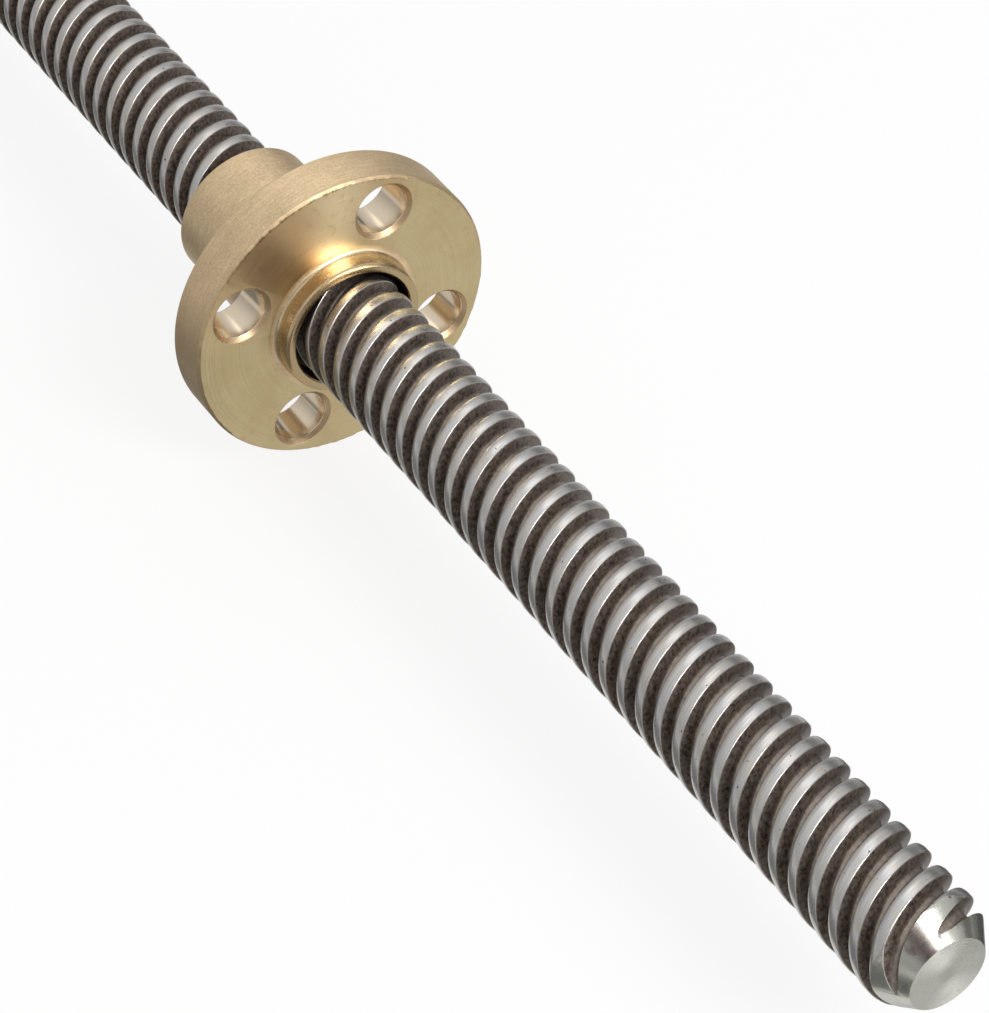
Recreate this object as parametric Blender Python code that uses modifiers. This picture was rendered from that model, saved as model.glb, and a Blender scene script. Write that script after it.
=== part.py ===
"""Trapezoidal lead screw with its flanged nut.

A steel screw with a four start, right-hand trapezoidal thread along its whole
length, and a brass nut turned from one piece: a barrel, a round flange with four
fixing holes, and a low boss round the mouth of the bore.

The screw's axis lies along world X and its mid-length is at the origin. Both
pieces are built standing on local Z, and one empty lays them down: its local Z
is world +X, its local X is world -Z and its local Y is world +Y. Metres.
"""

import math

import bmesh
import bpy

# Screw
SCREW_LENGTH = 0.150
MAJOR_DIAMETER = 0.008
PITCH = 0.002
STARTS = 4
THREAD_DEPTH = 0.0009
CREST_WIDTH = 0.00076
FLANK_ANGLE = math.radians(15)
FIRST_CREST = 0.00157  # back from the near end to the first crest, along the underside
END_CHAMFER_LENGTH = 0.0020
END_CHAMFER_DEPTH = 0.00135

# Nut
FACE_TO_END = 0.06765  # flange's front face to the screw's near end
FLANGE_DIAMETER = 0.022
FLANGE_THICKNESS = 0.0035
FLANGE_EDGE_BREAK = 0.0002
BARREL_DIAMETER = 0.0102
BARREL_LENGTH = 0.010  # from the flange's back face to the rear end
BARREL_EDGE_BREAK = 0.0003
BARREL_FILLET = 0.0003
BOSS_DIAMETER = 0.0102
BOSS_HEIGHT = 0.0015
BOSS_ROUNDING = 0.00045
BOSS_FILLET = 0.0005
THREAD_CLEARANCE = 0.00028  # between the screw's crests and the nut's bore
BORE_CHAMFER = 0.00025

# Fixing holes, in the flange's flat ring between the foot of the boss and the rim
HOLE_COUNT = 4
HOLE_TO_RIM = 0.001  # metal left outside a hole
HOLE_TO_FOOT = 0.0009  # metal left inside it
HOLE_CHAMFER = 0.00045
FIRST_HOLE_ANGLE = math.radians(66)

# Facets
THREAD_STEPS = 18  # in one turn of the thread
NUT_STEPS = 24  # few enough that the rim's lowest facet keeps the part from rolling
HOLE_STEPS = 20
END_STEPS = 36
ARC_STEPS = 3
MERGE = 0.000001

# Sizes that follow from the ones above
LEAD = PITCH * STARTS
CREST_RADIUS = MAJOR_DIAMETER / 2
ROOT_RADIUS = CREST_RADIUS - THREAD_DEPTH
FLANK_RUN = THREAD_DEPTH * math.tan(FLANK_ANGLE)
BORE_RADIUS = CREST_RADIUS + THREAD_CLEARANCE
NEAR_END = SCREW_LENGTH / 2
NUT_FACE = NEAR_END - FACE_TO_END
FOOT_RADIUS = max(BOSS_DIAMETER / 2 + BOSS_FILLET, BARREL_DIAMETER / 2 + BARREL_FILLET)
HOLE_DIAMETER = FLANGE_DIAMETER / 2 - HOLE_TO_RIM - HOLE_TO_FOOT - FOOT_RADIUS  # 3.5 mm
HOLE_CIRCLE_RADIUS = FOOT_RADIUS + HOLE_TO_FOOT + HOLE_DIAMETER / 2  # 8.25 mm

STEEL = ("rolled_steel", (0.56, 0.54, 0.53), 0.35)
BRASS = ("turned_brass", (0.78, 0.62, 0.38), 0.40)


def clear_scene():
    """Remove whatever objects the scene starts with."""
    for item in list(bpy.data.objects):
        bpy.data.objects.remove(item, do_unlink=True)


def new_collection(name):
    """A collection linked to the scene."""
    group = bpy.data.collections.new(name)
    bpy.context.scene.collection.children.link(group)
    return group


def metal(name, colour, roughness):
    """A bare metal of one colour."""
    material = bpy.data.materials.new(name)
    material.use_nodes = True
    shader = material.node_tree.nodes["Principled BSDF"]
    shader.inputs["Base Color"].default_value = (*colour, 1.0)
    shader.inputs["Metallic"].default_value = 1.0
    shader.inputs["Roughness"].default_value = roughness
    return material


def arc(centre, radius, start, end):
    """Points of a round edge in the profile plane, from one angle to another, in degrees."""
    points = []
    for step in range(ARC_STEPS + 1):
        angle = math.radians(start + (end - start) * step / ARC_STEPS)
        points.append((centre[0] + radius * math.cos(angle), centre[1] + radius * math.sin(angle)))
    return points


def profile_object(name, points, closed, turn, group):
    """A profile of (radius, height) points, standing in the plane at the angle turn about Z."""
    corners = [(r * math.cos(turn), r * math.sin(turn), z) for r, z in points]
    edges = [(i, i + 1) for i in range(len(points) - 1)]
    if closed:
        edges.append((len(points) - 1, 0))
    mesh = bpy.data.meshes.new(name)
    mesh.from_pydata(corners, edges, [])
    item = bpy.data.objects.new(name, mesh)
    group.objects.link(item)
    return item


def add_screw(item, steps, rise=0.0, turns=1):
    """Turn a profile about Z, rising by rise in each turn."""
    screw = item.modifiers.new("turning", "SCREW")
    screw.axis = "Z"
    screw.angle = math.tau
    screw.screw_offset = rise
    screw.iterations = turns
    screw.steps = steps
    screw.render_steps = steps
    screw.use_merge_vertices = rise == 0.0
    screw.merge_threshold = MERGE
    return screw


def turned(name, points, steps, group, closed=False):
    """A turned solid, with a facet and not a corner facing local +X, so that it can lie flat."""
    item = profile_object(name, points, closed, math.pi / steps, group)
    add_screw(item, steps)
    return item


def as_cutter(item):
    """Keep a cutting shape out of sight."""
    item.hide_render = True
    item.display_type = "WIRE"
    return item


def add_boolean(item, cutter, operation):
    """Cut or trim item with cutter."""
    cut = item.modifiers.new(cutter.name, "BOOLEAN")
    cut.operation = operation
    cut.solver = "EXACT"
    cut.object = cutter


def thread_profile(bottom):
    """One lead of the thread, all starts of it, from its top down to bottom."""
    points = []
    for tooth in range(STARTS):
        crest = bottom + LEAD - PITCH * (tooth + 0.5)
        half = CREST_WIDTH / 2
        points.append((ROOT_RADIUS, crest + half + FLANK_RUN))
        points.append((CREST_RADIUS, crest + half))
        points.append((CREST_RADIUS, crest - half))
        points.append((ROOT_RADIUS, crest - half - FLANK_RUN))
    # the next turn starts where this one ends, a lead lower
    points.append((points[0][0], points[0][1] - LEAD))
    return points


def thread_bar(group):
    """A threaded bar a little longer than the screw, with flat ends square to its axis."""
    spare = LEAD / 2
    # two leads past each end, because a sweep's own ends are slanted
    turns = math.ceil(SCREW_LENGTH / LEAD) + 4
    # a crest passes through the underside, local +X, at FIRST_CREST from the near end
    first = NEAR_END - FIRST_CREST + PITCH / 2
    bottom = first - LEAD * math.ceil((first + NEAR_END) / LEAD + 2)
    profile = profile_object("thread_profile", thread_profile(bottom), False, 0.0, group)
    add_screw(profile, THREAD_STEPS, rise=LEAD, turns=turns)
    bpy.context.view_layer.update()
    swept = profile.evaluated_get(bpy.context.evaluated_depsgraph_get())
    mesh = bpy.data.meshes.new_from_object(swept)
    bpy.data.objects.remove(profile, do_unlink=True)

    shape = bmesh.new()
    shape.from_mesh(mesh)
    bmesh.ops.remove_doubles(shape, verts=shape.verts, dist=MERGE)
    for side in (1, -1):
        everything = shape.verts[:] + shape.edges[:] + shape.faces[:]
        plane = (0, 0, side * (NEAR_END + spare))
        bmesh.ops.bisect_plane(shape, geom=everything, plane_co=plane, plane_no=(0, 0, side), clear_outer=True)
    open_edges = [edge for edge in shape.edges if edge.is_boundary]
    bmesh.ops.edgeloop_fill(shape, edges=open_edges)
    bmesh.ops.triangulate(shape, faces=shape.faces)
    bmesh.ops.recalc_face_normals(shape, faces=shape.faces)
    shape.to_mesh(mesh)
    shape.free()
    return mesh


def end_trim(group):
    """The outline that the bar is trimmed to: its length, with a cone at each end."""
    slope = END_CHAMFER_LENGTH / END_CHAMFER_DEPTH
    clear = THREAD_CLEARANCE
    outer = CREST_RADIUS + clear
    shoulder = NEAR_END - END_CHAMFER_LENGTH - clear * slope
    flat = CREST_RADIUS - END_CHAMFER_DEPTH
    points = [(0.0, NEAR_END), (flat, NEAR_END), (outer, shoulder)]
    points += [(outer, -shoulder), (flat, -NEAR_END), (0.0, -NEAR_END)]
    return as_cutter(turned("end_trim", points, END_STEPS, group))


def build_screw(parts, cutters, steel):
    """The lead screw."""
    mesh = thread_bar(parts)
    mesh.name = "lead_screw"
    screw = bpy.data.objects.new("lead_screw", mesh)
    parts.objects.link(screw)
    screw.data.materials.append(steel)
    trim = end_trim(cutters)
    add_boolean(screw, trim, "INTERSECT")
    return screw, trim


def nut_profile():
    """Half section of the nut, with height 0 at the flange's front face."""
    boss = BOSS_DIAMETER / 2
    barrel = BARREL_DIAMETER / 2
    rim = FLANGE_DIAMETER / 2
    back = -FLANGE_THICKNESS
    rear = back - BARREL_LENGTH
    points = [(BORE_RADIUS, BOSS_HEIGHT - BORE_CHAMFER), (BORE_RADIUS + BORE_CHAMFER, BOSS_HEIGHT)]
    points += arc((boss - BOSS_ROUNDING, BOSS_HEIGHT - BOSS_ROUNDING), BOSS_ROUNDING, 90, 0)
    points += arc((boss + BOSS_FILLET, BOSS_FILLET), BOSS_FILLET, 180, 270)
    points += [(rim - FLANGE_EDGE_BREAK, 0.0), (rim, -FLANGE_EDGE_BREAK)]
    points += [(rim, back + FLANGE_EDGE_BREAK), (rim - FLANGE_EDGE_BREAK, back)]
    points += [(barrel + BARREL_FILLET, back), (barrel, back - BARREL_FILLET)]
    points += [(barrel, rear + BARREL_EDGE_BREAK), (barrel - BARREL_EDGE_BREAK, rear)]
    points += [(BORE_RADIUS + BORE_CHAMFER, rear), (BORE_RADIUS, rear + BORE_CHAMFER)]
    return points


def hole_cutter(number, group):
    """A drill through the flange that also breaks the hole's edge on both faces."""
    hole = HOLE_DIAMETER / 2
    mouth = hole + HOLE_CHAMFER
    past = HOLE_CHAMFER
    back = -FLANGE_THICKNESS
    points = [(0.0, past), (mouth + past, past), (hole, -HOLE_CHAMFER)]
    points += [(hole, back + HOLE_CHAMFER), (mouth + past, back - past), (0.0, back - past)]
    drill = turned(f"hole_{number + 1}", points, HOLE_STEPS, group)
    # an angle in the world's YZ plane, from +Y towards +Z, is a quarter turn less than the local one
    angle = FIRST_HOLE_ANGLE + math.tau * number / HOLE_COUNT + math.pi / 2
    reach = HOLE_CIRCLE_RADIUS
    drill.location = (reach * math.cos(angle), reach * math.sin(angle), NUT_FACE)
    return as_cutter(drill)


def build_nut(parts, cutters, brass):
    """The flanged nut, with its origin on the screw's axis at the flange's front face."""
    nut = turned("flange_nut", nut_profile(), NUT_STEPS, parts, closed=True)
    nut.data.materials.append(brass)
    nut.location = (0.0, 0.0, NUT_FACE)
    drills = [hole_cutter(number, cutters) for number in range(HOLE_COUNT)]
    for drill in drills:
        add_boolean(nut, drill, "DIFFERENCE")
    return nut, drills


def main():
    clear_scene()
    parts = new_collection("trapezoidal_lead_screw")
    cutters = new_collection("cutters")

    axis = bpy.data.objects.new("screw_axis", None)
    axis.rotation_euler = (0.0, math.pi / 2, 0.0)
    parts.objects.link(axis)

    screw, trim = build_screw(parts, cutters, metal(*STEEL))
    nut, drills = build_nut(parts, cutters, metal(*BRASS))
    for item in (screw, trim, nut, *drills):
        item.parent = axis


main()
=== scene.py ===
"""Looks of the trapezoidal lead screw and its flanged nut.

Two pieces are made here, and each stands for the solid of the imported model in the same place:
a steel screw with a four start, right-hand trapezoidal thread, and a brass nut that is turned,
drilled and tapped from one piece. The screw's axis lies along X, with its mid-length at the
origin. Sizes are in millimetres here, and meshes are written in metres.
"""

import logging
import math
from dataclasses import dataclass, field
from enum import Enum
from typing import Any

import bmesh
import bpy
import numpy as np
from mathutils import Matrix, Vector

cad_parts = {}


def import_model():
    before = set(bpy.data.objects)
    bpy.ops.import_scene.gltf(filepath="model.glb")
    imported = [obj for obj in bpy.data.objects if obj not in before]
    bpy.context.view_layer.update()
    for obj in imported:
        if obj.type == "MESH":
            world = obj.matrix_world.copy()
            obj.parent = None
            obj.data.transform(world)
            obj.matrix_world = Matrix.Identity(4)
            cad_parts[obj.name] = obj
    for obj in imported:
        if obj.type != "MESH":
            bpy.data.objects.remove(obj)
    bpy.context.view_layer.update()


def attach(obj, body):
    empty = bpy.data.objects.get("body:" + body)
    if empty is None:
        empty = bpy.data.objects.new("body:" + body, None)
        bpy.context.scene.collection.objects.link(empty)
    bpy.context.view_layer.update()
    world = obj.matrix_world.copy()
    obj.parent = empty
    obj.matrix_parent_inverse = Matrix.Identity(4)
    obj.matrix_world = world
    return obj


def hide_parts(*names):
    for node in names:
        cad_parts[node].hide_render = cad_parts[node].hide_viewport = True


MM = 0.001
SAME_POINT = 1e-6  # millimetres; points of an outline that are closer are one point
SAME_CORNER = 1e-4  # millimetres; corners of a mesh that are closer are merged
NO_LENGTH = 1e-9  # millimetres; what counts as no length at all
ROUNDING_STEPS = 4  # straight pieces in the arc of a rounded corner
CRISP_ANGLE = 32.0  # degrees; steeper edges stay crisp in the shading
FLAT_SHARE = 60  # how far a large flat face leads the shading of its edges, out of 100
LOG = logging.getLogger("lead_screw")

Colour = tuple[float, float, float]
Point = tuple[float, float, float]


class Cut(Enum):
    """What a shaping tool does to the piece that it meets."""

    REMOVE = "DIFFERENCE"
    TRIM = "INTERSECT"


# Shapes as arrays


def rounded(corners: np.ndarray, radii: np.ndarray, steps: int) -> np.ndarray:
    """Round the corners of an open outline.

    At a corner P with a half angle h between its sides, the arc's centre is at P plus
    radius / sin h along the middle line, and it touches each side at radius / tan h from P.
    Its points turn evenly from one touching point to the other.

    Args:
        corners: (n, 2) points of the outline.
        radii: n radii, 0 where a corner stays sharp.
        steps: straight pieces in each arc.

    Returns:
        (m, 2) points, without repeated ones.
    """
    inner = corners[1:-1]
    back = corners[:-2] - inner
    ahead = corners[2:] - inner
    back /= np.linalg.norm(back, axis=1, keepdims=True)
    ahead /= np.linalg.norm(ahead, axis=1, keepdims=True)
    half = 0.5 * np.arccos(np.clip((back * ahead).sum(1), -1.0, 1.0))
    middle = back + ahead
    middle /= np.linalg.norm(middle, axis=1, keepdims=True)
    radius = radii[1:-1, None]
    centre = inner + middle * radius / np.sin(half)[:, None]
    first = inner + back * radius / np.tan(half)[:, None] - centre
    last = inner + ahead * radius / np.tan(half)[:, None] - centre
    span = (math.pi - 2 * half)[:, None, None]
    turn = np.linspace(0.0, 1.0, steps + 1)[None, :, None]
    spoke = np.sin((1 - turn) * span) * first[:, None] + np.sin(turn * span) * last[:, None]
    arcs = centre[:, None] + spoke / np.sin(span)
    points = np.vstack([corners[:1], arcs.reshape(-1, 2), corners[-1:]])
    apart = np.linalg.norm(np.diff(points, axis=0), axis=1) > SAME_POINT
    return points[np.concatenate([[True], apart])]


def turned(outline: np.ndarray, columns: int) -> np.ndarray:
    """Turn an outline of (x, radius) points about the X axis.

    Point (i, j) is (x_i, r_i cos a_j, r_i sin a_j), with a_j going evenly round.

    Args:
        outline: (n, 2) points.
        columns: points in a turn.

    Returns:
        A (n, columns, 3) grid.
    """
    angle = np.linspace(0.0, math.tau, columns, endpoint=False)
    along = np.repeat(outline[:, :1], columns, axis=1)
    beside, above = outline[:, 1:] * np.cos(angle), outline[:, 1:] * np.sin(angle)
    return np.stack([along, beside, above], axis=-1)


def grid_faces(rows: int, columns: int, ring: bool) -> np.ndarray:
    """Quads of a grid that closes on itself from column to column.

    Args:
        rows: points along the outline.
        columns: points round it.
        ring: whether the last row also joins the first.

    Returns:
        (n, 4) indices.
    """
    index = np.arange(rows * columns).reshape(rows, columns)
    lower = index if ring else index[:-1]
    upper = np.roll(index, -1, axis=0) if ring else index[1:]
    quads = [lower, np.roll(lower, -1, axis=1), np.roll(upper, -1, axis=1), upper]
    return np.stack(quads, axis=-1).reshape(-1, 4)


def linked(name: str, data: bpy.types.ID) -> bpy.types.Object:
    """A new object in the scene with this mesh, lamp or camera."""
    item = bpy.data.objects.new(name, data)
    bpy.context.scene.collection.objects.link(item)
    return item


def rectangle(name: str, width: float, depth: float, height: float = 0.0) -> bpy.types.Mesh:
    """A level face with its middle on the Z axis, in metres.

    Args:
        name: the mesh's name.
        width: its size along X.
        depth: its size along Y.
        height: its Z.

    Returns:
        The mesh.
    """
    x, y, z = width / 2, depth / 2, height
    mesh = bpy.data.meshes.new(name)
    mesh.from_pydata([(-x, -y, z), (x, -y, z), (x, y, z), (-x, y, z)], [], [(0, 1, 2, 3)])
    return mesh


def solid(name: str, points: np.ndarray, faces: list[list[int]]) -> bpy.types.Object:
    """A closed mesh with its doubles merged and its faces outward.

    Args:
        name: the object's name.
        points: (n, 3) corners in millimetres.
        faces: the corners of each face.

    Returns:
        The object, linked to the scene.
    """
    mesh = bpy.data.meshes.new(name)
    mesh.from_pydata(points * MM, [], faces)
    shape = bmesh.new()
    shape.from_mesh(mesh)
    bmesh.ops.remove_doubles(shape, verts=shape.verts, dist=SAME_CORNER * MM)
    loose = [vert for vert in shape.verts if not vert.link_faces]
    bmesh.ops.delete(shape, geom=loose, context="VERTS")
    bmesh.ops.recalc_face_normals(shape, faces=shape.faces)
    shape.to_mesh(mesh)
    shape.free()
    return linked(name, mesh)


def grid_solid(name: str, grid: np.ndarray, ring: bool = False) -> bpy.types.Object:
    """A solid with a grid as its skin, which ends on the axis or, for a ring, joins itself."""
    return solid(name, grid.reshape(-1, 3), grid_faces(*grid.shape[:2], ring).tolist())


def shaped(piece: bpy.types.Object, tool: bpy.types.Object, cut: Cut) -> None:
    """Shape a piece with a tool, and take the tool away.

    Args:
        piece: the piece, whose mesh is replaced.
        tool: the tool's own shape.
        cut: whether the tool's shape is cut away or is all that stays.
    """
    change = piece.modifiers.new("shaping", "BOOLEAN")
    change.object = tool
    change.operation = cut.value
    change.solver = "MANIFOLD"
    bpy.context.view_layer.update()
    ready = piece.evaluated_get(bpy.context.evaluated_depsgraph_get())
    mesh = bpy.data.meshes.new_from_object(ready)
    piece.modifiers.clear()
    piece.data = mesh
    bpy.data.objects.remove(tool, do_unlink=True)


def give_finish(piece: bpy.types.Object, material: bpy.types.Material) -> None:
    """Shade a piece smooth between its crisp edges, with its flats flat, and give it a material.

    Args:
        piece: the finished shape.
        material: its one material.
    """
    piece.data.shade_smooth()
    piece.data.set_sharp_from_angle(angle=math.radians(CRISP_ANGLE))
    weighted = piece.modifiers.new("flats stay flat", "WEIGHTED_NORMAL")
    weighted.mode = "FACE_AREA"
    weighted.weight = FLAT_SHARE
    weighted.keep_sharp = True
    piece.data.materials.clear()
    piece.data.materials.append(material)


# Shader maths


@dataclass(frozen=True)
class Grain:
    """An even noise: how fine it is, its levels of detail, and how rough the fine ones make it."""

    fine: float
    detail: float
    rough: float


@dataclass(frozen=True)
class Lines:
    """A noise in lines round the axis: how close they lie, how short they are, and the rest."""

    close: float
    short: float
    detail: float
    rough: float


class Value:
    """A number that changes over a surface: a node's output, whose arithmetic adds nodes."""

    def __init__(self, sheet: "NodeSheet", socket: bpy.types.NodeSocket) -> None:
        """Wrap an output socket of a node on the sheet."""
        self.sheet = sheet
        self.socket = socket

    def math(self, operation: str, *others: Any, first: Any = None) -> "Value":
        """Join this value and others in one Math node, with first before it if it is given."""
        terms = ([] if first is None else [first]) + [self, *others]
        return self.sheet.node("ShaderNodeMath", {"operation": operation}, dict(enumerate(terms)))

    def __add__(self, other: Any) -> "Value":
        """This plus other."""
        return self.math("ADD", other)

    __radd__ = __add__

    def __sub__(self, other: Any) -> "Value":
        """This minus other."""
        return self.math("SUBTRACT", other)

    def __rsub__(self, other: Any) -> "Value":
        """Other minus this."""
        return self.math("SUBTRACT", first=other)

    def __mul__(self, other: Any) -> "Value":
        """This times other."""
        return self.math("MULTIPLY", other)

    __rmul__ = __mul__

    def __truediv__(self, other: Any) -> "Value":
        """This divided by other."""
        return self.math("DIVIDE", other)

    def __rtruediv__(self, other: Any) -> "Value":
        """Other divided by this."""
        return self.math("DIVIDE", first=other)

    def __abs__(self) -> "Value":
        """This without its sign."""
        return self.math("ABSOLUTE")

    def either(self, other: Any) -> "Value":
        """The larger of this and other."""
        return self.math("MAXIMUM", other)

    def wrapped(self, half: float) -> "Value":
        """This, brought into the range from -half to half by whole steps of its width."""
        return self.math("WRAP", half, -half)

    def swing(self, width: float) -> "Value":
        """A noise that swings about 0, where this one swings about its mean of 0.5."""
        return (self - 0.5) * width

    def towards(self, other: Any, share: "Value") -> "Value":
        """This where share is 0, going over to other where it is 1."""
        return self + (other - self) * share

    def rise(self, start: float, end: float) -> "Value":
        """A soft step from 0 at start to 1 at end.

        Args:
            start: where it leaves 0.
            end: where it reaches 1, above or below start.

        Returns:
            The step.
        """
        settings = {"interpolation_type": "SMOOTHSTEP"}
        inputs = {"Value": self, "From Min": start, "From Max": end}
        return self.sheet.node("ShaderNodeMapRange", settings, inputs)


class NodeSheet:
    """A node tree that is written as expressions."""

    def __init__(self, tree: bpy.types.NodeTree) -> None:
        """Start on an empty tree."""
        self.tree = tree
        tree.nodes.clear()

    def place(self, kind: str, settings: dict[str, Any], inputs: dict[Any, Any]) -> bpy.types.Node:
        """Add a node.

        Args:
            kind: the node's type.
            settings: its properties, which are set first.
            inputs: values or links for its sockets, by name or number.

        Returns:
            The node.
        """
        node = self.tree.nodes.new(kind)
        for name, value in settings.items():
            setattr(node, name, value)
        for key, value in inputs.items():
            socket = node.inputs[key]
            if isinstance(value, Value):
                self.tree.links.new(value.socket, socket)
            elif socket.type == "RGBA":
                socket.default_value = (*value, 1.0)
            else:
                socket.default_value = value
        return node

    def node(
        self, kind: str, settings: dict[str, Any], inputs: dict[Any, Any], out: int | str = 0
    ) -> Value:
        """Add a node and give its output out."""
        return Value(self, self.place(kind, settings, inputs).outputs[out])

    def blend(self, share: Any, first: Any, second: Any) -> Value:
        """A colour from first, where share is 0, to second, where it is 1."""
        settings = {"data_type": "RGBA", "clamp_factor": True}
        return self.node("ShaderNodeMix", settings, {0: share, 6: first, 7: second}, 2)

    def vector(self, x: Any, y: Any, z: Any) -> Value:
        """A vector of three numbers."""
        return self.node("ShaderNodeCombineXYZ", {}, {0: x, 1: y, 2: z})

    def noise(self, where: Value, grain: Grain) -> Value:
        """Noise from 0 to 1 at a place."""
        inputs = {"Vector": where, "Scale": grain.fine}
        inputs |= {"Detail": grain.detail, "Roughness": grain.rough}
        return self.node("ShaderNodeTexNoise", {"noise_dimensions": "3D"}, inputs)

    def bump(self, height: Value, depth: float) -> Value:
        """A normal that follows a height, with depth in millimetres for a height of 1."""
        return self.node(
            "ShaderNodeBump", {}, {"Height": height, "Distance": depth * MM, "Strength": 1.0}
        )

    def end_in_shader(self, looks: dict[str, Any]) -> None:
        """End a piece's material in one shader with these looks."""
        shader = self.node("ShaderNodeBsdfPrincipled", {}, looks)
        self.place("ShaderNodeOutputMaterial", {}, {"Surface": shader})


def new_sheet(name: str) -> tuple[bpy.types.Material, NodeSheet]:
    """A new material with the empty sheet of its nodes."""
    material = bpy.data.materials.new(name)
    material.use_nodes = True
    return material, NodeSheet(material.node_tree)


@dataclass
class Place:
    """Where a shaded point is, in millimetres, along and round the screw's axis."""

    x: Value
    y: Value
    z: Value
    radius: Value
    turn: Value
    around_y: Value
    around_z: Value

    @classmethod
    def on(cls, sheet: NodeSheet) -> "Place":
        """The point's place from its object coordinates.

        Args:
            sheet: the sheet that gets the nodes.

        Returns:
            The place, with turn counted in whole turns from +Y towards +Z.
        """
        here = sheet.node("ShaderNodeTexCoord", {}, {}, "Object")
        split = sheet.place("ShaderNodeSeparateXYZ", {}, {0: here})
        x, y, z = (Value(sheet, socket) * (1.0 / MM) for socket in split.outputs)
        radius = (y * y + z * z).math("SQRT")
        turn = z.math("ARCTAN2", y) / math.tau
        return cls(x, y, z, radius, turn, y / radius, z / radius)

    def sector(self, angle: float, width: float) -> Value:
        """1 at an angle round the axis, fading to 0 at width degrees to either side of it."""
        return abs((self.turn * 360.0 - angle).wrapped(180.0)).rise(width, 0.0)

    def lined(self, along: Value, lines: Lines) -> Value:
        """Noise in lines round the axis.

        Args:
            along: what the lines lie side by side on, x or the radius.
            lines: their closeness, shortness and noise.

        Returns:
            The noise, from 0 to 1.
        """
        sheet = along.sheet
        beside, above = self.around_y * lines.short, self.around_z * lines.short
        where = sheet.vector(along * lines.close, beside, above)
        return sheet.noise(where, Grain(1.0, lines.detail, lines.rough))

    def spot(self) -> Value:
        """The place itself, as a vector."""
        return self.x.sheet.vector(self.x, self.y, self.z)


# The thread


@dataclass(frozen=True)
class Thread:
    """A right-hand trapezoidal thread on the X axis."""

    pitch: float = 2.0
    starts: int = 4
    crest_radius: float = 4.0
    root_radius: float = 3.02
    crest_width: float = 0.76
    flank_angle: float = 15.0
    worn_from: float = -0.20  # the far side of a crest slopes from here, measured from its middle,
    worn_to: float = -0.53  # to here,
    worn_depth: float = 0.10  # and is this much lower there
    near_rounding: float = 0.05
    worn_rounding: float = 0.8
    far_rounding: float = 0.15
    root_rounding: float = 0.30
    crest_at: float = 1.429  # x of a crest's middle, on the side towards +Y
    arc_steps: int = 3

    @property
    def lead(self) -> float:
        """How far one turn goes along the axis."""
        return self.pitch * self.starts

    def outline(self) -> np.ndarray:
        """One pitch of the thread, with the crest's middle at x 0.

        Returns:
            (n, 2) points of (x, radius).
        """
        half = self.crest_width / 2
        slope = math.tan(math.radians(self.flank_angle))
        run = (self.crest_radius - self.root_radius) * slope
        shoulder = self.crest_radius - self.worn_depth
        far_run = (shoulder - self.root_radius) * slope
        near_foot, far_foot = half + run, self.worn_to - far_run
        bottom = (near_foot + far_foot + self.pitch) / 2
        corners = np.array(
            [
                (bottom - self.pitch, self.root_radius),
                (far_foot, self.root_radius),
                (self.worn_to, shoulder),
                (self.worn_from, self.crest_radius),
                (half, self.crest_radius),
                (near_foot, self.root_radius),
                (bottom, self.root_radius),
            ]
        )
        root = self.root_rounding
        radii = np.array(
            [0.0, root, self.far_rounding, self.worn_rounding, self.near_rounding, root, 0.0]
        )
        return rounded(corners, radii, self.arc_steps)

    def bar(self, name: str, low: float, high: float, columns: int) -> bpy.types.Object:
        """A threaded bar with flat ends.

        Row k of the grid follows the helix x = x_k + lead * angle / (a full turn). Where it
        would pass an end it stays in the end's plane, and the radius is always the outline's
        radius at the place reached. After a full turn a row meets the row that is one lead
        of the outline further on.

        Args:
            name: the object's name.
            low: x of one end.
            high: x of the other end.
            columns: points in one turn.

        Returns:
            The bar.
        """
        outline = self.outline()
        each = outline[:-1]
        first = math.floor((low - self.lead - self.crest_at) / self.pitch) - 1
        last = math.ceil((high - self.crest_at) / self.pitch) + 1
        pitches = np.arange(first, last + 1) * self.pitch + self.crest_at
        start = (pitches[:, None] + each[:, 0]).reshape(-1, 1)
        turn = np.arange(columns) / columns
        x = np.clip(start + self.lead * turn, low, high)
        along = np.mod(x - self.crest_at - self.lead * turn - outline[0, 0], self.pitch)
        radius = np.interp(along + outline[0, 0], outline[:, 0], outline[:, 1])
        angle = turn * math.tau
        grid = np.stack([x, radius * np.cos(angle), radius * np.sin(angle)], axis=-1)

        rows = len(start)
        index = np.arange(rows * columns).reshape(rows, columns)
        step = self.starts * len(each)
        met = index[np.minimum(np.arange(rows) + step, rows - 1), 0]
        beside = np.column_stack([index[:, 1:], met])
        quads = np.stack([index[:-1], beside[:-1], beside[1:], index[1:]], axis=-1).reshape(-1, 4)
        flat = grid.reshape(-1, 3)
        quads = quads[np.ptp(flat[quads, 0], axis=1) > NO_LENGTH]
        points = np.vstack([flat, [(low, 0.0, 0.0), (high, 0.0, 0.0)]])
        hub = np.full(columns, rows * columns)
        low_end = np.column_stack([hub, beside[0], index[0]])
        high_end = np.column_stack([hub + 1, index[-1], beside[-1]])
        return solid(name, points, quads.tolist() + low_end.tolist() + high_end.tolist())


# The screw


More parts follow.
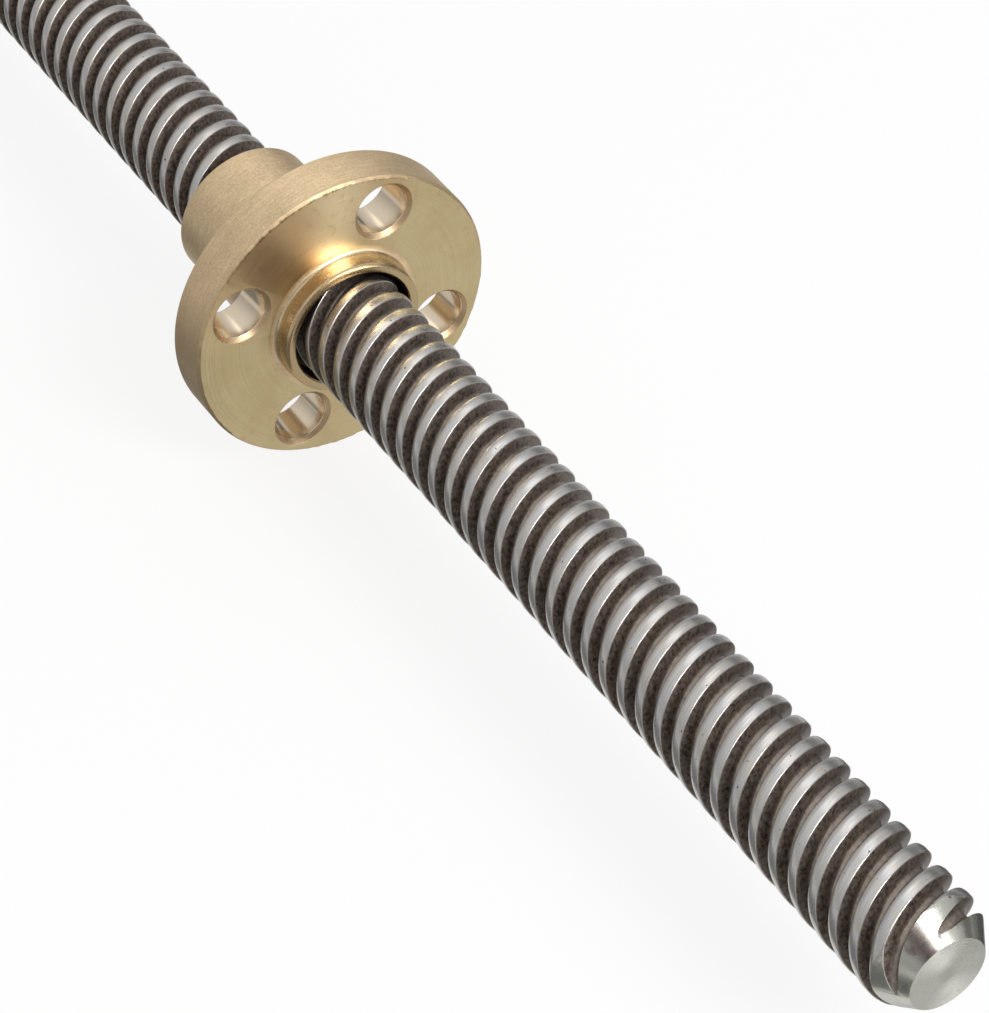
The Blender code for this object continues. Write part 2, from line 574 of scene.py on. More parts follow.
@dataclass(frozen=True)
class RolledSteel:
    """Rolled steel: bright crests, dirty grooves and freshly cut ends."""

    name: str = "rolled_steel"
    crest: Colour = (0.60, 0.595, 0.60)
    crest_warm: Colour = (0.62, 0.59, 0.54)
    crest_dull: Colour = (0.40, 0.38, 0.365)
    groove: Colour = (0.165, 0.128, 0.104)
    groove_dark: Colour = (0.050, 0.037, 0.030)
    bottom: Colour = (0.42, 0.36, 0.31)
    cut_end: Colour = (0.56, 0.565, 0.51)
    cut_end_dull: Colour = (0.40, 0.40, 0.35)
    cut_end_painted_highlight: Colour = (0.90, 0.89, 0.81)
    cut_end_stain_and_shade: Colour = (0.22, 0.17, 0.165)
    patches: Grain = Grain(0.9, 3.0, 0.6)
    specks: Grain = Grain(4.0, 4.0, 0.65)
    pits: Grain = Grain(2.6, 2.0, 0.5)
    rolled: Grain = Grain(1.0, 5.0, 0.65)
    rolled_close: float = 30.0  # lines of the rolled grain across one pitch
    rolled_short: float = 2.6
    rolled_drift: float = 0.12  # how the rolled grain changes along the screw
    rings: Lines = Lines(22.0, 0.3, 3.0, 0.6)
    far_reach: float = 0.34  # how far down the worn side of a crest the metal is bright
    near_reach: float = 0.12  # and how far down its sharp side
    crest_fade: float = 0.12
    bottom_height: float = 0.30  # how far up from the root the groove's bottom is worn bright
    bottom_fade: float = 0.24
    highlight_fan_angle: float = 108.0  # where the painted highlight lies on the faced end, and opposite it
    highlight_fan_width: float = 62.0
    crest_roughness: float = 0.30
    groove_roughness: float = 0.38
    cut_roughness: float = 0.27
    groove_metal: float = 0.4
    dirt_gloss: float = 0.25
    grain_depth: float = 0.0022
    ring_depth: float = 1.5  # of the rings on the cone, in grain depths
    face_ring_depth: float = 9.0  # and on the faced end

    def material(self, screw: "LeadScrew") -> bpy.types.Material:
        """The material, with its zones placed by the screw's own sizes.

        Args:
            screw: the screw that gets it.

        Returns:
            The material.
        """
        material, sheet = new_sheet(self.name)
        at = Place.on(sheet)
        thread = screw.thread
        crest_top, root = thread.crest_radius, thread.root_radius

        # place across one pitch, 0 at a crest's middle and half at a groove's
        across = (at.x - at.turn * thread.lead - thread.crest_at) / thread.pitch
        across = across.wrapped(0.5)
        # bright metal reaches further down the worn far side of a crest than the sharp near side
        reach = self.far_reach - (self.far_reach - self.near_reach) * across.rise(-0.05, 0.12)
        on_crest = (at.radius + reach).rise(crest_top, crest_top + self.crest_fade)
        bottom_top = root + self.bottom_height
        deep = at.radius.rise(bottom_top, bottom_top - self.bottom_fade)

        # the cut ends: the cone's surface and the flat face
        spot = at.spot()
        patches = sheet.noise(spot, self.patches)
        from_end = screw.length / 2 - abs(at.x)
        cone = screw.end_radius + from_end * screw.cone_slope
        near_end = from_end.rise(screw.cone_length + 0.3, screw.cone_length)
        on_end = (at.radius - cone + patches.swing(0.1)).rise(-0.07, -0.035) * near_end
        flat = from_end.rise(0.02, 0.005)
        cut = on_end.either(flat)

        # grain that runs along the thread, patches of dirt, pits, and the tool's rings
        drift = at.x * self.rolled_drift
        beside, above = at.around_y * self.rolled_short, at.around_z * self.rolled_short
        rolled_at = sheet.vector(across * self.rolled_close, beside + drift, above)
        grain = sheet.noise(rolled_at, self.rolled)
        specks = sheet.noise(spot, self.specks)
        pits = sheet.noise(spot, self.pits).rise(0.715, 0.75)
        rings = at.lined(at.radius, self.rings)
        smudge = at.radius.rise(0.9, 0.2)

        # colour, from the crests and grooves to the cut ends
        crest = sheet.blend(patches.rise(0.35, 0.65), self.crest, self.crest_warm)
        crest = sheet.blend(grain.swing(2.8) + 0.10, crest, self.crest_dull)
        dirty_side = across.rise(-0.12, -0.34)
        crest = sheet.blend(dirty_side * (grain * 1.6 - 0.2), crest, self.crest_dull)
        crest = sheet.blend(pits, crest, self.groove_dark)
        groove = sheet.blend(specks.rise(0.34, 0.60), self.groove_dark, self.groove)
        groove = sheet.blend(deep * (patches + specks - 0.3), groove, self.bottom)
        colour = sheet.blend(on_crest, groove, crest)
        ends = sheet.blend(patches * 0.6 + smudge * 0.4, self.cut_end, self.cut_end_dull)
        # painted highlight: a bright bow-tie painted on the faced end at a fixed angle round the
        # axis, as the rings would mirror the light
        painted_fan = at.sector(self.highlight_fan_angle, self.highlight_fan_width)
        painted_fan = painted_fan + at.sector(self.highlight_fan_angle - 180.0, self.highlight_fan_width)
        painted_fan = painted_fan * flat * at.radius.rise(0.2, 1.4)
        ends = sheet.blend(painted_fan * (patches + 0.35), ends, self.cut_end_painted_highlight)
        # painted shade: a dark patch painted on the cones at a fixed angle round the axis, where a
        # dark surround would be mirrored, with real stains in patches
        stain_and_shade = at.sector(screw.painted_shade_angle, screw.painted_shade_width) + patches.rise(0.54, 0.64) * 0.5
        ends = sheet.blend(stain_and_shade * (1.0 - flat) * 0.85, ends, self.cut_end_stain_and_shade)
        colour = sheet.blend(cut, colour, ends)

        # roughness, relief, and how metallic the dirt leaves it
        rough = specks.swing(0.40) + self.groove_roughness
        rough = rough.towards(grain.swing(0.45) + self.crest_roughness, on_crest)
        rough = rough.towards(self.cut_roughness + patches.swing(0.3) + specks.swing(0.08), cut)
        surface = grain * on_crest + specks * (1.0 - on_crest) * 2.0 - pits * 2.0
        ring_depth = self.ring_depth + flat * (self.face_ring_depth - self.ring_depth)
        height = surface * (1.0 - cut) + rings * cut * ring_depth
        bare = on_crest.either(cut).either(deep * 0.7)
        metal = self.groove_metal + (1.0 - self.groove_metal) * bare

        sheet.end_in_shader(
            {
                "Base Color": colour,
                "Metallic": metal,
                "Roughness": rough,
                "Specular IOR Level": self.dirt_gloss,
                "Normal": sheet.bump(height, self.grain_depth),
            }
        )
        return material


@dataclass
class LeadScrew:
    """The lead screw: threaded over its whole length, with a cone at each end."""

    length: float = 150.0
    thread: Thread = field(default_factory=Thread)
    cone_length: float = 2.0
    cone_depth: float = 1.35
    cone_rounding: float = 1.2
    end_edge: float = 0.05
    # the painted shade on the cones lies at this angle round the axis, and spreads this far
    painted_shade_angle: float = 120.0
    painted_shade_width: float = 22.0
    trim_run: float = 3.0  # how soon behind a cone the trimming shape clears the crests,
    trim_clearance: float = 0.25  # and by how much
    spare: float = 2.0  # how much longer than the screw the bar is at each end before trimming
    columns: int = 56
    end_columns: int = 192
    finish: RolledSteel = field(default_factory=RolledSteel)

    @property
    def end_radius(self) -> float:
        """Radius of the flat end faces."""
        return self.thread.crest_radius - self.cone_depth

    @property
    def cone_slope(self) -> float:
        """How much the cone widens for each millimetre from the end."""
        return self.cone_depth / self.cone_length

    def end_outline(self) -> np.ndarray:
        """What the bar is trimmed to: its length, with a cone at each end.

        Returns:
            (n, 2) points of (x, radius).
        """
        end = self.length / 2
        shoulder = end - self.cone_length
        crest = self.thread.crest_radius
        clear, straight = crest + self.trim_clearance, shoulder - self.trim_run
        corners = np.array(
            [
                (end, 0.0),
                (end, self.end_radius),
                (shoulder, crest),
                (straight, clear),
                (-straight, clear),
                (-shoulder, crest),
                (-end, self.end_radius),
                (-end, 0.0),
            ]
        )
        edge, soft = self.end_edge, self.cone_rounding
        radii = np.array([0.0, edge, soft, 0.0, 0.0, soft, edge, 0.0])
        return rounded(corners, radii, ROUNDING_STEPS)

    def build(self) -> bpy.types.Object:
        """Make the screw and give it its finish.

        Returns:
            The screw.
        """
        end = self.length / 2 + self.spare
        screw = self.thread.bar("threaded_screw", -end, end, self.columns)
        trim = grid_solid("end_trim", turned(self.end_outline(), self.end_columns))
        shaped(screw, trim, Cut.TRIM)
        give_finish(screw, self.finish.material(self))
        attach(screw, "screw")
        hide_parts("lead_screw")
        return screw


# The nut


@dataclass(frozen=True)
class TurnedBrass:
    """Brass as it leaves the lathe: tool rings on the face, a dull skin on the round sides."""

    name: str = "turned_brass"
    face: Colour = (0.68, 0.56, 0.32)
    face_deep: Colour = (0.52, 0.39, 0.18)
    face_warm_reflection: Colour = (0.64, 0.46, 0.25)
    face_painted_highlight: Colour = (1.0, 0.82, 0.50)
    stain_and_shade_brown: Colour = (0.50, 0.31, 0.14)
    lip: Colour = (0.54, 0.40, 0.22)
    lip_painted_shade: Colour = (0.36, 0.24, 0.12)
    side: Colour = (0.98, 0.77, 0.50)
    side_dull_and_shade: Colour = (0.56, 0.42, 0.25)
    boss: Colour = (0.74, 0.61, 0.42)
    boss_dull_and_shade: Colour = (0.53, 0.38, 0.22)
    bored: Colour = (0.78, 0.66, 0.50)
    dark_shade_and_dirt: Colour = (0.22, 0.15, 0.08)
    patches: Grain = Grain(0.28, 4.0, 0.6)
    fine: Grain = Grain(6.0, 5.0, 0.7)
    blotches: Grain = Grain(1.6, 3.0, 0.6)
    rings: Lines = Lines(7.0, 0.25, 5.0, 0.75)
    hair: Lines = Lines(26.0, 0.25, 2.0, 0.6)
    strokes: Lines = Lines(9.0, 5.0, 4.0, 0.7)
    dashes: Lines = Lines(3.0, 34.0, 3.0, 0.6)
    rim_shade_angle: float = 165.0
    rim_shade_width: float = 28.0
    side_roughness: float = 0.47
    face_roughness: float = 0.30
    boss_roughness: float = 0.27
    bored_roughness: float = 0.20
    ring_depth: float = 0.0220
    grain_depth: float = 0.0050

    def material(self, nut: "FlangeNut") -> bpy.types.Material:
        """The material, with its zones placed by the nut's own sizes.

        Args:
            nut: the nut that gets it.

        Returns:
            The material.
        """
        material, sheet = new_sheet(self.name)
        at = Place.on(sheet)
        ahead = at.x - nut.face_x
        rim, boss_rim, shade_at = nut.flange_radius, nut.boss_radius, nut.painted_shade_angle

        # zones, each 0 or 1 with a soft edge
        back = ahead + nut.flange_thickness
        on_flat = abs(ahead).rise(0.05, 0.02).either(abs(back).rise(0.05, 0.02))
        on_face = on_flat * at.radius.rise(boss_rim + 0.4, boss_rim + 0.6)
        on_face = on_face * at.radius.rise(rim - 0.1, rim - 0.2)
        on_boss = ahead.rise(0.02, 0.12)
        to_hole = self.to_nearest_hole(at, nut)
        sink = nut.hole_radius + nut.hole_chamfer
        in_hole = to_hole.rise(sink + 0.06, sink)
        sunk = to_hole.rise(nut.hole_radius + 0.02, nut.hole_radius + 0.08) * in_hole
        mouth = nut.bore_mouth - nut.mouth_break
        in_bore = at.radius.rise(mouth + 0.03, mouth)

        # patterns: patches of skin, the tool's rings and hair lines, and strokes along the sides
        spot = at.spot()
        patches = sheet.noise(spot, self.patches)
        fine = sheet.noise(spot, self.fine)
        rings = at.lined(at.radius, self.rings)
        hair = at.lined(at.radius, self.hair)
        strokes = at.lined(at.x, self.strokes)
        dashes = at.lined(at.x, self.dashes)

        # painted shade in a sector of the face, with real stains in blotches, painted shade by the
        # boss's foot, and the burr left along its edge
        blotches = sheet.noise(spot, self.blotches).rise(0.56, 0.70)
        # painted shade: the face is darkened in a sector round the axis, as its rings would mirror
        # darker surroundings; the blotches are real stains
        stain_and_shade = at.sector(shade_at, 30.0) * (patches + 0.4) * at.radius.rise(13.5, 6.0)
        stain_and_shade = stain_and_shade + blotches * 0.3
        # painted shade: darker by the boss's foot, in a sector round the axis
        shade_near_boss = at.radius.rise(boss_rim + 0.9, boss_rim + 0.1)
        shade_near_boss = shade_near_boss * at.sector(shade_at - 8.0, 20.0)
        ragged = at.radius + fine.swing(0.6)
        burr = ragged.rise(rim - 0.34, rim - 0.28) * ragged.rise(rim - 0.08, rim - 0.14)
        burr = burr * ahead.rise(-0.35, -0.2) * at.sector(shade_at - 16.0, 60.0)
        edge = at.radius.rise(rim - 0.24, rim - 0.18) * ahead.rise(-0.30, -0.14)

        # the face
        deeper = rings.swing(1.1) + 0.25 + patches.swing(1.2)
        face = sheet.blend(deeper, self.face, self.face_deep)
        # painted reflection: a brownish sector of the face, as its rings would mirror darker
        # surroundings there
        painted_warm_reflection = at.sector(shade_at - 12.0, 75.0).rise(0.0, 0.6) * (0.6 + patches * 0.6)
        face = sheet.blend(painted_warm_reflection, face, self.face_warm_reflection)
        # painted highlight: a cream sector of the face, where the rings would mirror the light
        face = sheet.blend(at.sector(shade_at - 32.0, 22.0) * 0.95, face, self.face_painted_highlight)
        face = sheet.blend(stain_and_shade * 0.75, face, self.stain_and_shade_brown)
        face = sheet.blend(shade_near_boss * (fine + 0.2), face, self.dark_shade_and_dirt)

        # the round sides
        side = sheet.blend(fine.swing(1.6) + patches, self.side, self.side_dull_and_shade)
        side = sheet.blend(strokes.swing(2.2) + 0.15, side, self.side_dull_and_shade)
        # painted shade: the rim is darker in a sector round the axis
        rim_shade = at.sector(self.rim_shade_angle, self.rim_shade_width)
        rim_shade = rim_shade * at.radius.rise(rim - 2.0, rim - 1.0)
        side = sheet.blend(rim_shade * 0.6, side, self.side_dull_and_shade)

        # the boss and its lip
        duller = patches.swing(2.0) + 0.4 + fine.swing(1.0)
        boss = sheet.blend(duller, self.boss, self.boss_dull_and_shade)
        # painted shade: the boss's side is darker in a sector round the axis
        boss = sheet.blend(at.sector(shade_at - 12.0, 18.0) * (fine + 0.2), boss, self.boss_dull_and_shade)
        # painted shade: the lip is darker in a sector round the axis
        lip = sheet.blend(at.sector(shade_at - 22.0, 34.0), self.lip, self.lip_painted_shade)
        on_lip = ahead.rise(nut.boss_height - 0.25, nut.boss_height - 0.05)
        boss = sheet.blend(on_lip, boss, lip)

        colour = sheet.blend(on_face, side, face)
        colour = sheet.blend(on_boss, colour, boss)
        colour = sheet.blend(edge * (fine - 0.1), colour, self.boss_dull_and_shade)
        colour = sheet.blend(burr * dashes.rise(0.42, 0.58) * 0.8, colour, self.dark_shade_and_dirt)
        colour = sheet.blend(in_hole, colour, self.bored)
        colour = sheet.blend(sunk * (0.45 + fine), colour, self.boss_dull_and_shade)
        # painted shade: the bore within the boss is coloured dark, for the shade in its recess
        colour = sheet.blend(in_bore, colour, self.dark_shade_and_dirt)

        rough = self.side_roughness + fine.swing(0.3)
        rough = rough.towards(self.face_roughness + rings.swing(0.2), on_face)
        rough = rough.towards(self.boss_roughness + fine.swing(0.3), on_boss)
        rough = rough.towards(self.bored_roughness + sunk * 0.24, in_hole)
        turned_part = on_face.either(on_boss)
        cut_lines = rings * 0.35 + hair * 0.65
        height = cut_lines * (on_face + on_boss * 0.3) * (self.ring_depth / self.grain_depth)
        height = height + fine * (1.0 - turned_part) * (1.0 - in_hole)

        sheet.end_in_shader(
            {
                "Base Color": colour,
                "Metallic": 1.0,
                "Roughness": rough,
                "Normal": sheet.bump(height, self.grain_depth),
            }
        )
        return material

    def to_nearest_hole(self, at: Place, nut: "FlangeNut") -> Value:
        """How far a place is from the axis of the nearest fixing hole.

        The law of cosines gives it from the radius, the radius of the circle that the holes
        lie on, and the angle between the place and the hole.

        Args:
            at: the shaded place.
            nut: the nut with the holes.

        Returns:
            The distance in millimetres.
        """
        apart = (at.turn * nut.holes - nut.first_hole / (360.0 / nut.holes)).wrapped(0.5)
        angle = apart * (math.tau / nut.holes)
        circle = nut.hole_circle
        squares = at.radius * at.radius + circle**2
        return (squares - at.radius * angle.math("COSINE") * (2 * circle)).math("SQRT")


@dataclass
class FlangeNut:
    """The nut: a barrel, a round flange with four fixing holes, and a low boss."""

    face_x: float = 7.35
    flange_radius: float = 11.0
    flange_thickness: float = 3.5
    front_break: float = 0.17
    back_break: float = 0.25
    barrel_radius: float = 5.1
    barrel_length: float = 10.0
    barrel_edge: float = 0.25
    barrel_foot: float = 0.3
    boss_radius: float = 5.1
    boss_height: float = 1.5
    boss_rounding: float = 0.32
    boss_foot: float = 0.32
    bore_mouth: float = 4.5
    mouth_break: float = 0.12
    recess_depth: float = 1.8
    blank_bore: float = 3.0
    hole_circle: float = 8.25
    hole_radius: float = 1.86
    hole_chamfer: float = 0.32
    first_hole: float = 66.0
    # painted light and shade on the face, the boss and its lip are placed from this angle round
    # the axis
    painted_shade_angle: float = 124.0
    holes: int = 4
    mouth_rounding: float = 0.04
    small_rounding: float = 0.05
    break_rounding: float = 0.08
    back_rounding: float = 0.12
    burr_height: float = 0.045
    burr_mean: float = 0.35
    burr_lean: float = 0.7  # how far the burr leans outward for each millimetre of its height
    burr_breadth: float = 0.09
    burr_reach: float = 0.10  # how far along x the burr reaches from the face
    burr_waves: tuple[tuple[int, float, float], ...] = (
        (7, 0.20, 0.4),
        (13, 0.25, 2.1),
        (29, 0.30, 4.4),
        (53, 0.30, 1.3),
        (97, 0.25, 5.2),
    )  # how many waves go round, and their height and shift
    drill_over: float = 0.6  # how far the drill's shape stands out of either face,
    drill_flare: float = 0.8  # and how much wider than a hole's mouth it is there
    drill_step: float = 0.04  # how close to a face it starts to be so wide
    hole_rounding: float = 0.10
    hole_rounding_steps: int = 3
    spare: float = 2.0  # how far the tap goes past the nut at each end
    columns: int = 360
    hole_columns: int = 72
    tap_columns: int = 96
    tap: Thread = field(
        default_factory=lambda: Thread(
            crest_radius=4.12,
            root_radius=3.14,
            crest_width=0.90,
            worn_to=-0.60,
            root_rounding=0.22,
        )
    )
    finish: TurnedBrass = field(default_factory=TurnedBrass)

    def blank_outline(self) -> np.ndarray:
        """The blank's half section, closed by joining last to first.

        Returns:
            (n, 2) points of (x, radius), with x from the flange's front face.
        """
        back = -self.flange_thickness
        rear = back - self.barrel_length
        bore = self.blank_bore
        recess = self.bore_mouth - self.mouth_break
        floor = self.boss_height - self.recess_depth
        deep = recess - bore
        straight = 0.5  # of the plain bore between the two cones that lead into it
        band = 0.22  # of the face, along its edge, that the burr rises from
        hair = 0.0002  # what lifts a point off the flat face, as a corner needs an angle
        small = self.small_rounding
        rows = [
            ((floor - deep - straight, bore), 0.0),
            ((floor - deep, bore), 0.0),
            ((floor, recess), 0.0),
            ((self.boss_height - self.mouth_break, recess), self.mouth_rounding),
            ((self.boss_height, self.bore_mouth), small),
            ((self.boss_height, self.boss_radius), self.boss_rounding),
            ((0.0, self.boss_radius), self.boss_foot),
            ((hair, self.flange_radius - self.front_break - band), 0.0),
            ((0.0, self.flange_radius - self.front_break), small),
            ((-self.front_break, self.flange_radius), self.break_rounding),
            ((back + self.back_break, self.flange_radius), self.back_rounding),
            ((back, self.flange_radius - self.back_break), self.break_rounding),
            ((back, self.barrel_radius), self.barrel_foot),
            ((rear + self.barrel_edge, self.barrel_radius), small),
            ((rear, self.barrel_radius - self.barrel_edge), small),
            ((rear, recess), small),
            ((rear + deep, bore), 0.0),
            ((rear + deep + straight, bore), 0.0),
        ]
        corners = np.array([corner for corner, _ in rows])
        return rounded(corners, np.array([radius for _, radius in rows]), ROUNDING_STEPS)

    def blank(self) -> bpy.types.Object:
        """The turned blank, with the burr that facing left along the flange's front edge.

        The burr lifts the edge by a sum of sine waves of the angle, and fades out with the
        distance from the edge.

        Returns:
            The blank.
        """
        grid = turned(self.blank_outline(), self.columns)
        angle = np.linspace(0.0, math.tau, self.columns, endpoint=False)
        ahead, radius = grid[..., 0], np.hypot(grid[..., 1], grid[..., 2])
        waves = sum(size * np.sin(count * angle + shift) for count, size, shift in self.burr_waves)
        from_edge = radius - self.flange_radius + self.front_break
        edge = np.exp(-((from_edge / self.burr_breadth) ** 2))
        edge *= np.exp(-((ahead / self.burr_reach) ** 2))
        lift = self.burr_height * edge * (self.burr_mean + waves)
        grid[..., 0] += lift
        spread = 1.0 + self.burr_lean * lift / np.maximum(radius, NO_LENGTH)
        grid[..., 1:] *= spread[..., None]
        grid[..., 0] += self.face_x
        return grid_solid("flanged_nut", grid, ring=True)

    def drill(self, number: int) -> bpy.types.Object:
        """The shape of one fixing hole, countersunk on both faces.

        Args:
            number: which hole, from 0.

        Returns:
            The shape to cut away.
        """
        back = -self.flange_thickness
        hole, sink = self.hole_radius, self.hole_chamfer
        mouth = hole + sink
        wide = mouth + self.drill_flare
        over, step = self.drill_over, self.drill_step
        corners = np.array(
            [
                (over, 0.0),
                (over, wide),
                (step, wide),
                (0.0, mouth),
                (-sink, hole),
                (back + sink, hole),
                (back, mouth),
                (back - step, wide),
                (back - over, wide),
                (back - over, 0.0),
            ]
        )
        radii = np.repeat((0.0, self.hole_rounding, 0.0), (3, 4, 3))
        grid = turned(rounded(corners, radii, self.hole_rounding_steps), self.hole_columns)
        angle = math.radians(self.first_hole + 360.0 * number / self.holes)
        beside, above = self.hole_circle * math.cos(angle), self.hole_circle * math.sin(angle)
        grid += (self.face_x, beside, above)
        return grid_solid(f"drill_{number + 1}", grid)

    def build(self) -> bpy.types.Object:
        """Turn, drill and tap the nut, and give it its finish.

        Returns:
            The nut.
        """
        nut = self.blank()
        for number in range(self.holes):
            shaped(nut, self.drill(number), Cut.REMOVE)
        rear = self.face_x - self.flange_thickness - self.barrel_length - self.spare
        front = self.face_x + self.boss_height + self.spare
        shaped(nut, self.tap.bar("tap", rear, front, self.tap_columns), Cut.REMOVE)
        give_finish(nut, self.finish.material(self))
        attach(nut, "nut")
        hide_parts("flange_nut")
        return nut


# The studio


@dataclass(frozen=True)
class Softbox:
    """A square soft light that faces the object."""

    name: str
    direction: Point
    size: float
    power: float


@dataclass(frozen=True)
class Board:
    """A board of one even brightness, which only reflections see."""

    name: str
    place: Point
    size: tuple[float, float]
    glow: float


@dataclass
class Studio:
    """A white table, soft light, and the camera of the photograph. Its sizes are in metres."""

    floor_size: float = 6.0
    floor_height: float = -0.01099
    floor_grey: float = 0.8
    shadow_share: float = 0.16  # how much of the light on the floor shows, with its shadow
    floor_seen: float = 0.86  # and what the floor adds of its own where it is seen,
    floor_mirrored: float = 0.60  # or mirrored
    sky_light: float = 0.45
    lamp_distance: float = 0.6
    tent_radius: float = 1.2
    tent_rows: int = 13
    tent_columns: int = 48
    tent_low: Colour = (0.40, 0.40, 0.41)
    tent_top: Colour = (0.96, 0.96, 0.95)
    eye: Point = (0.185939, -0.098788, 0.171240)
    ahead: Point = (-0.6238918, 0.3868006, -0.6790761)
    right: Point = (0.5269275, 0.8499102, 0.0)
    focal_length: float = 144.70
    sensor: float = 36.0
    softboxes: tuple[Softbox, ...] = (
        Softbox("main_light", (0.74, 0.17, 0.65), 0.25, 1.7),
        Softbox("top_light", (-0.45, 0.28, 0.85), 0.30, 0.20),
    )
    boards: tuple[Board, ...] = (
        Board("camera_side_board", (0.46, -0.17, 0.16), (0.24, 0.60), 0.08),
        Board("right_board", (-0.05, 0.60, 0.07), (1.10, 0.26), 0.12),
        # painted shadow: a dark mat where the screw's shadow lies on the table, seen only in
        # reflections
        Board("shadow_mat", (0.015, -0.0250, -0.0108), (0.19, 0.032), 0.22),
        Board("under_card", (0.093, -0.0058, -0.0108), (0.134, 0.0062), 0.95),
        Board("right_mat", (0.105, 0.0290, -0.0108), (0.126, 0.030), 0.10),
        Board("far_mat", (0.05, 0.0920, -0.0108), (0.35, 0.09), 0.20),
        Board("front_reflector", (0.50, 0.25, 0.12), (0.17, 0.30), 8.0),
    )

    def glowing_matt(self, sheet: NodeSheet, matt: float, glow: float) -> Value:
        """A matt grey that takes a weak shadow, as part of its brightness is its own.

        Args:
            sheet: the sheet that gets the nodes.
            matt: how much of the light on it shows.
            glow: what it adds of its own.

        Returns:
            The shader.
        """
        own = sheet.node("ShaderNodeEmission", {}, {"Color": (glow, glow, glow), "Strength": 1.0})
        lit = sheet.node("ShaderNodeBsdfDiffuse", {}, {"Color": (matt, matt, matt)})
        return sheet.node("ShaderNodeAddShader", {}, {0: lit, 1: own})

    def floor(self) -> None:
        """A pale floor that shows white where nothing shades it."""
        mesh = rectangle("floor", self.floor_size, self.floor_size, self.floor_height)
        floor = linked("floor", mesh)
        material, sheet = new_sheet("white_table")
        grey = self.floor_grey
        plain = sheet.node("ShaderNodeBsdfDiffuse", {}, {"Color": (grey, grey, grey)})
        mirrored = self.glowing_matt(sheet, self.shadow_share, self.floor_mirrored)
        seen = self.glowing_matt(sheet, self.shadow_share, self.floor_seen)
        rays = sheet.place("ShaderNodeLightPath", {}, {})
        direct = Value(sheet, rays.outputs["Is Camera Ray"])
        direct = direct.either(Value(sheet, rays.outputs["Is Transmission Ray"]))
        glossy = Value(sheet, rays.outputs["Is Glossy Ray"])
        shown = sheet.node("ShaderNodeMixShader", {}, {0: glossy, 1: plain, 2: mirrored})
        shown = sheet.node("ShaderNodeMixShader", {}, {0: direct, 1: shown, 2: seen})
        sheet.place("ShaderNodeOutputMaterial", {}, {"Surface": shown})
        floor.data.materials.append(material)

    def sky(self) -> None:
        """White where it is seen, mirrored or let through, and a plain grey light elsewhere."""
        world = bpy.data.worlds.new("studio")
        world.use_nodes = True
        bpy.context.scene.world = world
        sheet = NodeSheet(world.node_tree)
        rays = sheet.place("ShaderNodeLightPath", {}, {})
        seen = Value(sheet, rays.outputs["Is Camera Ray"])
        mirrored = Value(sheet, rays.outputs["Is Glossy Ray"])
        through = Value(sheet, rays.outputs["Is Transmission Ray"])
        to_eye = seen.either(mirrored).either(through)
        strength = to_eye * (1.0 - self.sky_light) + self.sky_light
        white = {"Color": (1.0, 1.0, 1.0), "Strength": strength}
        light = sheet.node("ShaderNodeBackground", {}, white)
        sheet.place("ShaderNodeOutputWorld", {}, {"Surface": light})

    def softbox(self, box: Softbox) -> None:
        """Hang a soft light at its distance and turn it to face the object.

        Args:
            box: the light.
        """
        lamp = bpy.data.lights.new(box.name, "AREA")
        lamp.shape = "SQUARE"
        lamp.size = box.size
        lamp.energy = box.power
        item = linked(box.name, lamp)
        away = Vector(box.direction).normalized()
        item.location = away * self.lamp_distance
        item.rotation_euler = away.to_track_quat("Z", "Y").to_euler()

    def reflected_only(self, mesh: bpy.types.Mesh, colour_on: Any) -> bpy.types.Object:
        """A glowing surface that only reflections see.

        Args:
            mesh: its mesh, whose name it takes.
            colour_on: a function that gives its colour on a sheet.

        Returns:
            The surface.
        """
        card = linked(mesh.name, mesh)
        material, sheet = new_sheet(mesh.name)
        glow = sheet.node("ShaderNodeEmission", {}, {"Color": colour_on(sheet), "Strength": 1.0})
        sheet.place("ShaderNodeOutputMaterial", {}, {"Surface": glow})
        card.data.materials.append(material)
        card.visible_camera = False
        card.visible_diffuse = False
        card.visible_shadow = False
        card.visible_transmission = False
        return card

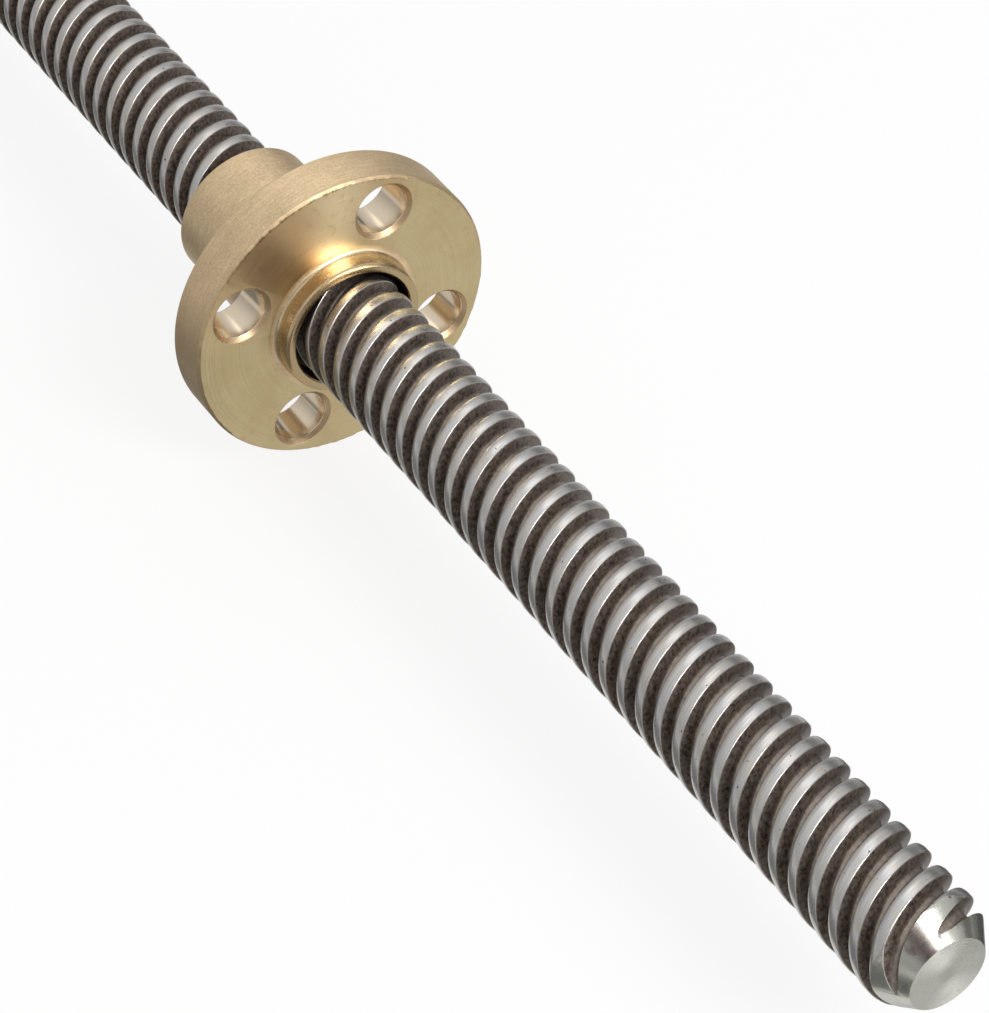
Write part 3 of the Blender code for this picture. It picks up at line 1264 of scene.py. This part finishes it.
    def tent(self) -> None:
        """A photographer's tent: grey near the table and white overhead.

        Its points are at equal angles on a half sphere above the table.
        """
        around = np.linspace(0.0, math.tau, self.tent_columns, endpoint=False)
        height = np.linspace(0.0, math.tau / 4, self.tent_rows)[:, None]
        reach = self.tent_radius
        level = reach * np.cos(height)
        upright = reach * np.sin(height) + 0.0 * around
        grid = np.stack([level * np.cos(around), level * np.sin(around), upright], axis=-1)
        mesh = bpy.data.meshes.new("tent")
        faces = grid_faces(self.tent_rows, self.tent_columns, False)
        mesh.from_pydata(grid.reshape(-1, 3), [], faces.tolist())

        def shade(sheet: NodeSheet) -> Value:
            """The tent's grey at a height."""
            return sheet.blend(Place.on(sheet).z * (MM / reach), self.tent_low, self.tent_top)

        self.reflected_only(mesh, shade)

    def board(self, board: Board) -> None:
        """Put up a board for the metal to mirror.

        It lies flat if it is level with the table, and otherwise stands and faces the object.

        Args:
            board: the board.
        """
        mesh = rectangle(board.name, *board.size)
        card = self.reflected_only(mesh, lambda sheet: (board.glow,) * 3)
        card.location = board.place
        if board.place[2] > self.floor_height + MM:
            away = Vector((board.place[0], board.place[1], 0.0))
            card.rotation_euler = away.to_track_quat("Z", "Y").to_euler()

    def camera(self) -> None:
        """The camera of the photograph."""
        lens = bpy.data.cameras.new("photo_camera")
        lens.sensor_fit = "HORIZONTAL"
        lens.sensor_width = self.sensor
        lens.lens = self.focal_length
        lens.clip_start = 0.005
        lens.clip_end = 50.0
        item = linked("photo_camera", lens)
        right, ahead = Vector(self.right), Vector(self.ahead)
        turn = Matrix((right, right.cross(ahead), -ahead)).transposed()
        item.matrix_world = Matrix.Translation(self.eye) @ turn.to_4x4()
        bpy.context.scene.camera = item

    def build(self) -> None:
        """Set up the whole studio."""
        self.floor()
        self.sky()
        for box in self.softboxes:
            self.softbox(box)
        self.tent()
        for board in self.boards:
            self.board(board)
        self.camera()
        bpy.context.scene.view_settings.view_transform = "Standard"


def main() -> None:
    """Build the object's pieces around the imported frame, and the studio round them."""
    logging.basicConfig(level=logging.INFO, format="%(message)s")
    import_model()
    for maker in (LeadScrew(), FlangeNut()):
        piece = maker.build()
        LOG.info("%s: %d faces", piece.name, len(piece.data.polygons))
    Studio().build()


if __name__ == "__main__":
    main()
